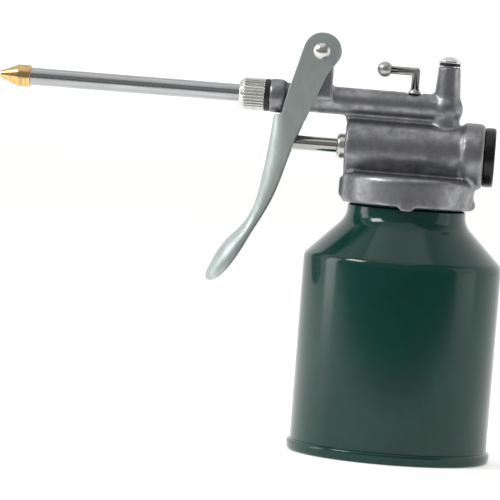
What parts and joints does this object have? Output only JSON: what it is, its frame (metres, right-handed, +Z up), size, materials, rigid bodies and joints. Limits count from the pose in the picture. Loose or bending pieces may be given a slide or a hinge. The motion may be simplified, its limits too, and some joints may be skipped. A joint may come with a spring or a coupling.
{
  "type": "oiler can",
  "caption": "Round oil can with a lever-operated plunger pump, stop cock and straight rigid spout with a brass tip.",
  "frame": {"origin": "centre of the can's underside, on the plane that it stands on", "axes": "+Z up along the can's axis, -X towards the spout's tip, +X towards the pump's rear plug, +Y across"},
  "size_m": [0.1838, 0.0728, 0.1477],
  "materials": {
    "can_enamel": "deep green gloss enamel on pressed steel",
    "cast_metal": "grey die casting, as cast, lightly polished",
    "zinc_steel": "stamped steel sheet, dull zinc plating",
    "bright_steel": "ground and polished steel",
    "nut_steel": "turned steel, satin nickel plating",
    "spout_steel": "drawn steel tube, satin nickel plating",
    "chrome_cap": "chromium plated",
    "tip_brass": "turned brass, slightly tarnished",
    "valve_brass": "turned brass",
    "spring_steel": "hard drawn spring wire",
    "seal_rubber": "black oil-proof rubber",
    "cup_rubber": "black moulded rubber",
    "plug_black": "black moulded plastic, satin"
  },
  "bodies": {
    "can": {"can_shell": "can_enamel", "can_base": "can_enamel"},
    "neck_ring": {"neck_gasket": "seal_rubber"},
    "pump_head": {"pump_casting": "cast_metal", "rod_gland": "nut_steel", "gland_packing": "seal_rubber", "rear_plug": "plug_black", "rear_plug_seal": "seal_rubber", "valve_plug": "chrome_cap", "valve_plug_seal": "seal_rubber", "cock_seal": "seal_rubber", "spout_seal": "seal_rubber", "inlet_valve_body": "valve_brass", "dip_tube": "bright_steel", "strainer": "valve_brass", "return_spring": "spring_steel", "outlet_valve_spring": "spring_steel"},
    "lever": {"lever": "zinc_steel", "pivot_pin": "bright_steel"},
    "plunger": {"plunger_rod": "bright_steel", "piston": "valve_brass", "piston_cup": "cup_rubber", "piston_nut": "nut_steel"},
    "stop_cock": {"cock_spindle": "bright_steel", "cock_arm": "nut_steel"},
    "inlet_ball": {"inlet_ball": "bright_steel"},
    "outlet_ball": {"outlet_ball": "bright_steel"},
    "spout": {"spout_tube": "spout_steel", "spout_ferrule": "nut_steel", "nozzle_tip": "tip_brass"},
    "spout_nut": {"spout_nut": "nut_steel"}
  },
  "joints": [
    {"name": "head_rise", "type": "slide", "parent": "can", "child": "neck_ring", "axis": [0, 0, 1], "range_m": [0, 0.0045]},
    {"name": "head_unscrew", "type": "hinge", "parent": "neck_ring", "child": "pump_head", "pos_m": [0, 0, 0.0973], "axis": [0, 0, 1], "range_deg": [0, 540]},
    {"name": "lever_pivot", "type": "hinge", "parent": "pump_head", "child": "lever", "pos_m": [-0.034, 0, 0.1411], "axis": [0, -1, 0], "range_deg": [0, 17], "stiffness_Nm_per_rad": 0.65, "springref_deg": -25.78},
    {"name": "plunger_slide", "type": "slide", "parent": "pump_head", "child": "plunger", "axis": [1, 0, 0], "range_m": [0, 0.0098], "deforming": ["return_spring"]},
    {"name": "cock_turn", "type": "hinge", "parent": "pump_head", "child": "stop_cock", "pos_m": [-0.0005, 0, 0.128], "axis": [0, 0, 1], "range_deg": [0, 90]},
    {"name": "inlet_ball_lift", "type": "slide", "parent": "pump_head", "child": "inlet_ball", "axis": [0, 0, 1], "range_m": [0, 0.0012]},
    {"name": "outlet_ball_lift", "type": "slide", "parent": "pump_head", "child": "outlet_ball", "axis": [0, 0, 1], "range_m": [0, 0.0015], "stiffness_N_per_m": 50, "springref_m": -0.003, "deforming": ["outlet_valve_spring"]},
    {"name": "spout_slide", "type": "slide", "parent": "pump_head", "child": "spout", "axis": [-1, 0, 0], "range_m": [0, 0.004]},
    {"name": "nut_turn", "type": "hinge", "parent": "spout", "child": "spout_nut", "pos_m": [-0.0577, 0, 0.1241], "axis": [-1, 0, 0], "range_deg": [0, 1440]}
  ],
  "couplings": [
    {"joint": "head_rise", "follows": "head_unscrew", "m_per_rad": 0.000477},
    {"joint": "plunger_slide", "follows": "lever_pivot", "m_per_rad": 0.033},
    {"joint": "nut_turn", "follows": "spout_slide", "rad_per_m": 6283.2}
  ]
}
